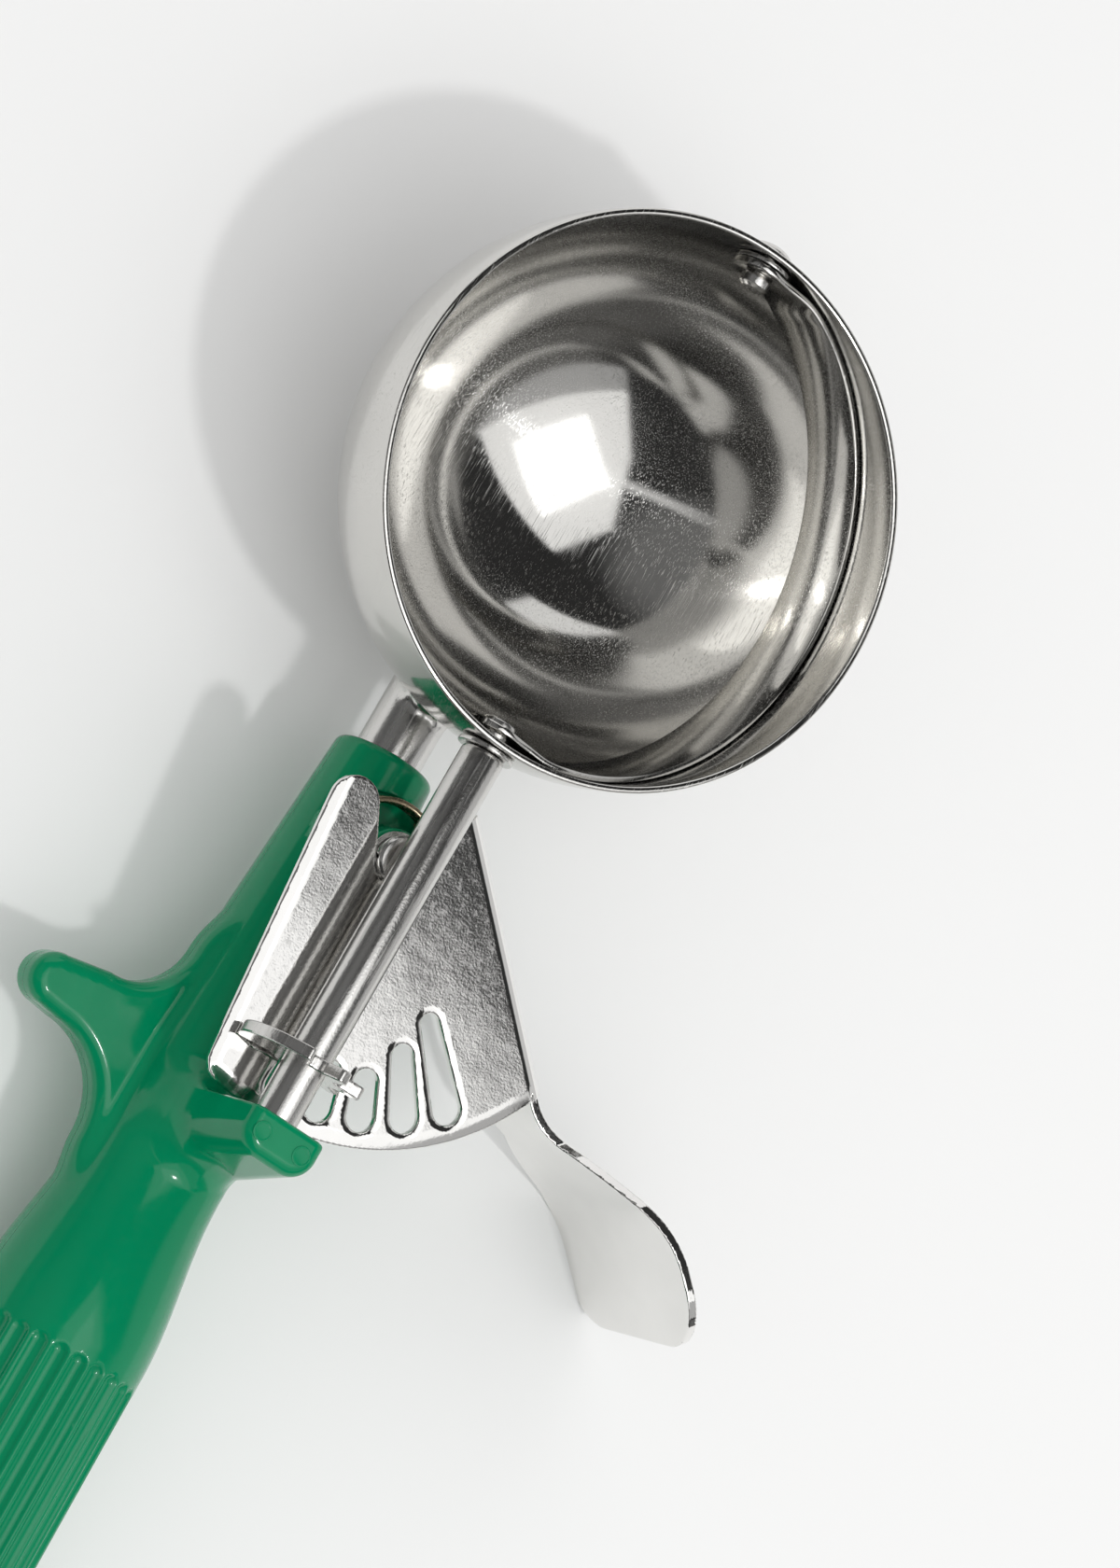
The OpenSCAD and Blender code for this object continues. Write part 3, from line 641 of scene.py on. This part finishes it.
def pinion_distance(p):
    """A stamped plate with four teeth and a plain sector."""
    x, y, z = (p - bowl_c).T
    reach = np.hypot(y, z)
    shape = reach - tooth_root_r
    for k in range(4):
        way = math.radians(first_tooth - k * tooth_pitch)
        a = y * math.cos(way) + z * math.sin(way)
        b = np.abs(-y * math.sin(way) + z * math.cos(way))
        slope = (tooth_root_w - tooth_tip_w) / 2 / (tooth_tip_r - tooth_root_r)
        flank = b - tooth_root_w / 2 + (a - tooth_root_r) * slope
        tooth = round_both(round_both(flank, a - tooth_tip_r, tooth_edge), -a, 0.1)
        shape = round_either(shape, tooth, tooth_fillet)
    middle = math.radians((sector_from + sector_to) / 2)
    half = math.radians((sector_to - sector_from) / 2)
    most = 1.5
    off = np.abs((np.arctan2(z, y) - middle + math.pi) % (2 * math.pi) - math.pi)
    side = reach * np.sin(np.clip(off - half, -most, most))
    shape = round_either(shape, round_both(reach - sector_r, side, sector_edge), sector_fillet)
    return round_both(shape, np.abs(x + bowl_c[0] - pinion_x) - pinion_t / 2, pinion_edge)


def make_net(name, distance, node, body, step):
    """A piece from the net over a node's distance, within the node's box."""
    low, high = node_box(node)
    step *= 1
    margin = 3 * step
    points, quads, normals = surface_net(distance, low - margin, high + margin, step)
    points = np.clip(points, low, high)
    piece_from(name, points, quads, [node], body, normals=normals)


make_net("pinion", pinion_distance, "pinion", "wiper", 0.2)

# ---------------------------------------------------------------- thumb lever
sheet_t = 1.1
plate_r = 32.3
slot_half = 3.5
slot_outer, slot_inner, slot_step = 30.4, 23.3, 2.9
hub_r, finger_r = 2.9, 3.0
finger = (2.7, 8.3)
finger_end, hub_from, hub_to = -57, 117, -25
edge_tilt = 5.5
corner_r = 2.5
flange_dir, flange_off, bend_r = 46.9, 11.2, 1.95
flat_end = flange_off - bend_r
flange_front, flange_drop = -2.3, 7
strip_mid, strip_w, paddle_w = -8.25, 13, 30.2
root_at, root_turn, root_r, strip_run, tip_r = 31.5, math.radians(33), 8, 10.8, 16
paddle_r, paddle_corner, lever_len = 25, 7.5, 63.2
arc_end = math.sqrt(plate_r ** 2 - flat_end ** 2)
along_way = np.array([-math.cos(math.radians(flange_dir)), -math.sin(math.radians(flange_dir))])
out_way = np.array([-along_way[1], along_way[0]])
plate_bore_r = 1.66
plate_edge, sheet_edge, slot_edge = 0.15, 0.14, 0.05
run_past, back_in = 2, 0.8
root_back, root_drop = 10, 1
slot_coin = (0.75, 0.16, 1.3)
arc_coin = (1.8, 0.4, 1.2)
long_coin = (1.6, 0.4, 1.5)
edge_x, edge_y = -math.sin(math.radians(edge_tilt)), math.cos(math.radians(edge_tilt))
edge_off = finger_r + finger[0] * edge_x + finger[1] * edge_y


def plate_polygon():
    """The plate's outline from above about the pivot, run on past the flange so that the bend ends it."""
    corner_way = edge_tilt + 180 - math.degrees(math.asin((edge_off - corner_r) / (plate_r - corner_r)))
    corner = [(plate_r - corner_r) * f(math.radians(corner_way)) for f in (math.cos, math.sin)]
    arc_way = 180 + flange_dir + math.degrees(math.atan(flat_end / arc_end))
    past = flange_off + run_past
    front = flange_front * along_way + past * out_way
    back = (arc_end - back_in) * along_way + past * out_way
    outline = arc(finger, finger_r, 90 + edge_tilt, finger_end, 10)
    outline += arc((0, 0), hub_r, hub_from, hub_to, 10)
    outline += [tuple(flange_front * along_way + flat_end * out_way), tuple(front), tuple(back)]
    outline += arc((0, 0), plate_r, arc_way, corner_way, 24)
    return outline + arc(corner, corner_r, corner_way, 90 + edge_tilt, 8)


def strip_polygon():
    """The flange, the strip and the paddle from the side: along the flange, and up from the plate's top."""
    half = paddle_w / 2
    paddle_at = lever_len - paddle_corner
    flare = math.degrees(math.asin((strip_w / 2 - half + paddle_r) / paddle_r))
    top = arc((paddle_at, half - paddle_r), paddle_r, 180 - flare, 90, 8)
    top += arc((paddle_at, half - paddle_corner), paddle_corner, 90, 0, 10)
    low = strip_mid - strip_w / 2
    outline = [(flange_front, -flange_drop), (flange_front, -bend_r), (root_at, -bend_r)]
    outline += [(s, strip_mid + h) for s, h in top] + [(s, strip_mid - h) for s, h in reversed(top)]
    return outline + [(root_at, low), (root_at - root_back, low + root_drop)]


def slots_distance(x, y):
    """The five slots about the pivot: sides that point at the pivot, and round ends."""
    near = np.full(len(x), 99.0)
    s, c = math.sin(math.radians(slot_half)), math.cos(math.radians(slot_half))
    far_c = slot_outer / (1 + s)
    for k in range(5):
        way = math.radians(180 + slot_start + k * slot_pitch)
        a = x * math.cos(way) + y * math.sin(way)
        b = np.abs(-x * math.sin(way) + y * math.cos(way))
        near_c = (slot_inner - slot_step * max(0, k - 2)) / (1 - s)
        t = a * c + b * s
        shape = np.where(t > far_c * c, np.hypot(a - far_c, b) - far_c * s, b * c - a * s)
        shape = np.where(t < near_c * c, np.hypot(a - near_c, b) - near_c * s, shape)
        near = np.minimum(near, shape)
    return near


def strip_offset(s, n):
    """The signed distance outwards from the strip's middle line, seen from above."""
    mid = flange_off - sheet_t / 2
    way = np.array([math.cos(root_turn), math.sin(root_turn)])
    side = np.array([math.sin(root_turn), -math.cos(root_turn)])
    root_c = np.array([root_at, mid + root_r])
    run_start = root_c + root_r * side
    run_end = run_start + strip_run * way
    tip_c = run_end + tip_r * side
    p = np.stack([s, n], -1)
    first = root_r - np.hypot(*(p - root_c).T)
    run = -(p - run_start) @ side
    second = np.hypot(*(p - tip_c).T) - tip_r
    offset = np.where(s < root_at, n - mid, first)
    offset = np.where((p - run_start) @ way > 0, run, offset)
    offset = np.where((p - run_end) @ way > 0, second, offset)
    return np.where((s > tip_c[0]) & ((p - run_end) @ way > 0), n - tip_c[1] - tip_r, offset)


plate_outline = outline_table(plate_polygon())
strip_outline = outline_table(strip_polygon())


def coined(distance, width, depth, power):
    """How far a sheet's face is pressed down near an edge."""
    return depth * np.clip(1 - distance / width, 0, 1) ** power


def lever_distance(p):
    """One pressed sheet: gear plate, bend, flange, strip and paddle, with coined edges round the slots."""
    x, y, h = (p - pivot).T
    s = x * along_way[0] + y * along_way[1]
    n = x * out_way[0] + y * out_way[1]
    radius_mid = bend_r - sheet_t / 2
    up = np.hypot(np.maximum(n - flat_end, 0), np.maximum(h + bend_r, 0)) - radius_mid
    slots = slots_distance(x, y)
    edge = plate_r - np.hypot(x, y)
    long_edge = edge_off - y * edge_y - x * edge_x
    dish = coined(slots, *slot_coin) + coined(edge, *arc_coin)
    dish = np.where(n < flat_end + 0.5, dish, 0)
    dish = np.maximum(dish, coined(long_edge, *long_coin))
    sheet = np.maximum(up - sheet_t / 2 + dish, -up - sheet_t / 2)
    plate = round_both(plate_outline(x, y), -slots, slot_edge)
    plate = np.maximum(plate, -bend_r - h)
    plate = np.maximum(plate, plate_bore_r - np.hypot(x, y))
    bent = round_both(sheet, plate, plate_edge)
    side = strip_outline(s, h)
    strip = round_both(np.abs(strip_offset(s, n)) - sheet_t / 2, side, sheet_edge)
    return np.minimum(bent, strip)


make_net("thumb_lever", lever_distance, "thumb_lever", "lever", 0.24)


# ---------------------------------------------------------------- spring
wire_r = 0.425
coil_r = 7.1 - wire_r
coil_pitch, coil_turns = 0.88, 3


def make_spring():
    """Three turns of wire round the boss with a leg along the flange; the tail goes down into the handle."""
    bend = 1.2
    off_flange, coil_step = 7.4, 7.5
    bottom = spring_high[2] - wire_r - coil_turns * coil_pitch
    turn = math.radians(flange_dir + off_flange - 90)
    across = np.array([math.cos(turn), math.sin(turn), 0])
    back = np.array([math.sin(turn), -math.cos(turn), 0])
    centre = np.array([pivot[0], pivot[1], bottom])
    up = np.array([0, 0, 1])

    def place(a, b, c):
        """The point at distances across, back and up from the middle of the coil's foot."""
        return centre + a * across + b * back + c * up

    coil = [place(coil_r * math.cos(a), coil_r * math.sin(a), coil_pitch * a / (2 * math.pi))
            for a in np.radians(np.arange(0, 360 * coil_turns + 1, coil_step))]
    leg = [place(coil_r, b, coil_turns * coil_pitch) for b in (2, 8, 14, 20, 21)]
    tube("spring_coil", coil + leg, wire_r, ["return_spring"], "lever", (0.001, 0, 1))
    down = [place(coil_r, -bend, c) for c in (-4, -3, -2, -bend - 0.3)]
    bend_steps = np.radians((0, 20, 40, 60, 80, 90))
    down += [place(coil_r, -bend * math.cos(b), bend * (math.sin(b) - 1)) for b in bend_steps]
    tube("spring_tail", down, wire_r, [], "frame", across, "spring_wire")


make_spring()

# ---------------------------------------------------------------- handle
grip_r, front_r, waist_r, shoulder_r, nose_r = 11.6, 10.9, 8.65, 8.6, 6.1
flute_end, waist_x, shoulder_x, nose_x = 75, bowl_c[0] - 89, bowl_c[0] - 78, handle_front
flute_count, flute_r, flute_depth = 27, 1.2, 0.58
guard_x, guard_reach, guard_t, guard_r = bowl_c[0] - 78.2, 25.2, 5.6, 3.1
front_hollow = (7.8, 12.0, 16.6)
rear_hollow = (9.5, 12.9, 19.5)
post_x = pivot[0] - plate_r - 0.5
post_t, post_w, post_flare, post_top = 5.0, 12.0, 1.2, 5.3
seat_r, boss_r, seat_gap = 7.4, 3.6, 0.1
seat_z = spring_high[2] - coil_turns * coil_pitch - 2 * wire_r - seat_gap
boss_top = washer_low[2]
nose_edge, butt_edge, flute_edge, seat_edge, spot_edge = 1.0, 5.0, 0.2, 0.3, 0.2
guard_edge, guard_fillet = 1.7, 1.2
post_back_edge, post_top_edge, post_front_edge = 3.0, 1.3, 0.5
post_lean, lean_reach, flare_reach = 1.2, 6, 10
thin_fillet, fillet_gain, fillet_reach = 1.5, 2.5, 5
taper_from, run_out_curve = 5, 0.07
mark_r, mark_up, mark_back = 1.15, 0.08, 2.4


def grip_radius(x):
    """The moulding's radius along the handle."""
    grip = grip_r + (front_r - grip_r) * (x - taper_from) / (flute_end - taper_from)
    t = np.clip((x - flute_end) / (waist_x - flute_end), 0, 1)
    swell = waist_r + (front_r - waist_r) / 2 * (1 + np.cos(math.pi * t))
    neck = np.interp(x, [waist_x, shoulder_x, nose_x], [waist_r, shoulder_r, nose_r])
    return np.where(x < flute_end, grip, np.where(x < waist_x, swell, neck))


def flutes_distance(x, r, spin):
    """The round cutters of the flutes, each with a round front end."""
    pitch = 2 * math.pi / flute_count
    off = (spin % pitch - pitch / 2) * r
    rise = r - grip_radius(np.minimum(x, flute_end)) - flute_r + flute_depth
    past = np.maximum(x - flute_end + 2 * flute_r, 0)
    return np.sqrt(off ** 2 + rise ** 2 + past ** 2) - flute_r


def guard_side(x, y, hollow):
    """One side of the guard's outline from above: a hollow at its root, then a straight flank."""
    radius, over, up = hollow
    hollow_d = radius - np.hypot(x - over, y - up)
    slope = (over - radius - guard_r) / (guard_reach - guard_r - up)
    flank = (x - (over - radius) + slope * (y - up)) / math.hypot(1, slope)
    run_out = y - up + radius + run_out_curve * (x - over) ** 2
    return np.where(y > up, flank, np.where(x > over, run_out, hollow_d))


def guard_distance(x, y, z):
    """The finger guard: a flat wing with rounded edges and a round tip."""
    front = guard_side(x - guard_x, y, front_hollow)
    rear = guard_side(guard_x - x, y, rear_hollow)
    outline = np.maximum(front, rear)
    tip_y = guard_reach - guard_r
    tip = np.hypot(x - guard_x, y - tip_y) - guard_r
    outline = np.maximum(np.where(y > tip_y, tip, outline), -y)
    crown = 0.5 * np.clip(y / guard_reach, 0, 1) - 0.25
    return round_both(outline, np.abs(z) - guard_t / 2 - crown, guard_edge)


def post_distance(x, y, z):
    """The bearing post: square in front, round and leaning behind, with a rounded top."""
    y, z = y - bowl_c[1], z - bowl_c[2]
    half = post_w / 2 - post_flare * np.clip((z + flare_reach) / (post_top + flare_reach), 0, 1)
    lean = post_x - post_t - post_lean * np.clip((post_top - z) / (post_top + lean_reach), 0, 2)
    back = round_both(np.abs(y) - half, lean - x, post_back_edge)
    column = round_both(back, z - post_top, post_top_edge)
    return np.maximum(round_both(column, x - post_x, post_front_edge), -z - bowl_c[2])


def handle_distance(p):
    """One moulding: the fluted grip, the guard, the bearing post, and the spring's seat round the boss."""
    x, y, z = p.T
    r = np.hypot(y, z)
    body = round_both(round_both(r - grip_radius(x), x - nose_x, nose_edge), -x, butt_edge)
    body = round_both(body, -flutes_distance(x, r, np.arctan2(z, y)), flute_edge)
    rho = np.hypot(x - pivot[0], y - pivot[1])
    spot = round_both(rho - seat_r, seat_z - z, seat_edge)
    body = round_both(body, -spot, spot_edge)
    body = np.minimum(body, np.maximum(round_both(rho - seat_r, z - seat_z, seat_edge), -z))
    body = np.minimum(body, np.maximum(round_both(rho - boss_r, z - boss_top, seat_edge), -z))
    body = round_either(body, guard_distance(x, y, z), guard_fillet)
    blend = thin_fillet + fillet_gain * np.clip(1 + (y - bowl_c[1]) / fillet_reach, 0, 1)
    return round_either(body, post_distance(x, y, z), blend)


make_net("handle", handle_distance, "handle", "frame", 0.33)


def make_marks():
    """The round marks that the mould's ejector pins leave on top of the post."""
    top = bowl_c[2] + post_top
    line = [(-0.3, 0), (-0.3, mark_r), (mark_up, mark_r), (mark_up, mark_r - 0.15)]
    line += [(mark_up - 0.05, mark_r - 0.25), (mark_up - 0.05, 0)]
    for number, across in enumerate((2.9, -2.6)):
        centre = np.array([post_x - mark_back, bowl_c[1] + across, top])
        name = f"mould_mark_{number + 1}"
        turned(name, line, centre, "Z", [], "frame", corner=0.04, steps=40, slot="green_plastic")


make_marks()

# ---------------------------------------------------------------- stage and light
floor_up = Vector((0.0168, 0.0917, 0.9956)).normalized()
floor_gap = 0.2
floor_at = Vector(bowl_c) * MM - floor_up * (bowl_ro + floor_gap) * MM
floor_half = 3.0
lamp_distance = 1.5


def make_floor():
    """A plain pale floor that the bowl, the grip and the paddle touch."""
    mesh = bpy.data.meshes.new("floor")
    corners = [(a * floor_half, b * floor_half, 0) for a, b in ((-1, -1), (1, -1), (1, 1), (-1, 1))]
    mesh.from_pydata(corners, [], [(0, 1, 2, 3)])
    floor = bpy.data.objects.new("floor", mesh)
    bpy.context.scene.collection.objects.link(floor)
    floor.matrix_world = Matrix.Translation(floor_at) @ floor_up.to_track_quat("Z", "Y").to_matrix().to_4x4()
    mat, shader = material("pale_floor")[:2]
    shader.inputs["Base Color"].default_value = (0.9, 0.9, 0.895, 1)
    shader.inputs["Roughness"].default_value = 0.8
    shader.inputs["Specular IOR Level"].default_value = 0.1
    mesh.materials.append(mat)


def area_lamp(name, way, size, power, turn=0):
    """A square lamp in a direction from the bowl, facing it, turned by some degrees."""
    data = bpy.data.lights.new(name, "AREA")
    data.size = size
    data.energy = power
    lamp = bpy.data.objects.new(name, data)
    bpy.context.scene.collection.objects.link(lamp)
    aim = Vector(bowl_c) * MM
    way = Vector(way).normalized()
    facing = way.to_track_quat("Z", "Y").to_matrix().to_4x4() @ Matrix.Rotation(math.radians(turn), 4, "Z")
    lamp.matrix_world = Matrix.Translation(aim + way * lamp_distance) @ facing


make_floor()
# The light levels that the steel mirrors, each where all its cones meet. A cone is a direction, the angle in
# degrees up to which it is full, and the angle where it ends. A cone of 90 degrees is half of the sky.
LEFT_HALF = ((-0.911, 0.279, 0.304), 89.2, 90.4)
RIGHT_HALF = ((0.507, -0.703, 0.499), 89.5, 90.5)
STUDIO = {
    "dark room": (0.03, [((0, 0, 1), 179, 180)]),
    "dim wall": (0.17, [((0, 0.79, 0.6), 15, 33)]),
    "floor and low walls": (0.15, [((0, 0, -1), 98, 106)]),
    "side patch": (0.6, [((0.55, -0.83, 0), 36, 42)]),
    "window": (0.9, [
        ((0.738, -0.165, -0.655), 89.5, 90.5),
        ((0.511, 0.667, -0.542), 89.5, 90.5),
        ((0.842, 0.343, 0.425), 30, 34),
    ]),
    "grey zone under the soft box": (0.45, [
        ((-0.431, -0.616, -0.66), 89.5, 90.5),
        LEFT_HALF,
        RIGHT_HALF,
        ((0, 0, 1), 66, 70),
    ]),
    "streak": (0.75, [
        ((0.934, 0.249, 0.258), 90, 93.5),
        ((-0.934, -0.249, -0.258), 90, 93.5),
        ((-0.224, -0.242, 0.944), 45, 85),
    ]),
    "soft box": (1.1, [
        ((-0.603, -0.727, 0.328), 89.5, 90.5),
        LEFT_HALF,
        ((0.271, -0.873, 0.405), 89.3, 90.7),
        RIGHT_HALF,
        ((0.431, 0.616, 0.66), 89.5, 90.5),
    ]),
}
FILL, SOFT_FILL = 0.5, 0.62


def make_world():
    """A dark studio with a large soft box, as mirrors see it. Other surfaces get an even fill besides."""
    world = bpy.data.worlds.new("studio")
    bpy.context.scene.world = world
    world.use_nodes = True
    tree = world.node_tree
    node = node_maker(tree)
    way = node("ShaderNodeTexCoord").outputs["Generated"]

    def cone(middle, inner, outer):
        """One within an angle of a direction, and nothing beyond a wider angle."""
        middle = Vector(middle).normalized()
        facing = node("ShaderNodeVectorMath", {0: way, 1: middle}, operation="DOT_PRODUCT")
        start, end = math.cos(math.radians(outer)), math.cos(math.radians(inner))
        return spread(node, facing.outputs["Value"], start, end)

    def combined(operation, *values):
        """What an operation makes of its values, each a number or another node's output."""
        return node("ShaderNodeMath", dict(enumerate(values)), operation=operation).outputs[0]

    total = 0.0
    for level, cones in STUDIO.values():
        shape = 1.0
        for middle, inner, outer in cones:
            shape = combined("MINIMUM", cone(middle, inner, outer), shape)
        total = combined("MAXIMUM", combined("MULTIPLY", shape, level), total)
    ray = node("ShaderNodeLightPath").outputs
    seen = 0.0
    for kind in ("Is Camera Ray", "Is Glossy Ray", "Is Transmission Ray"):
        seen = combined("MAXIMUM", ray[kind], seen)
    fill = combined("MULTIPLY_ADD", total, SOFT_FILL, FILL)
    strength = node("ShaderNodeMix", {"Factor": seen, "A": fill, "B": total})
    background = tree.nodes["Background"]
    background.inputs["Color"].default_value = (1, 1, 1, 1)
    tree.links.new(strength.outputs["Result"], background.inputs["Strength"])


make_world()
area_lamp("key_lamp", (-0.2238, -0.2418, 0.944), size=0.08, power=4.1)
area_lamp("soft_panel", (-0.193, -0.149, 0.968), size=0.9, power=2.3, turn=20)
bpy.context.scene.view_settings.view_transform = "Standard"
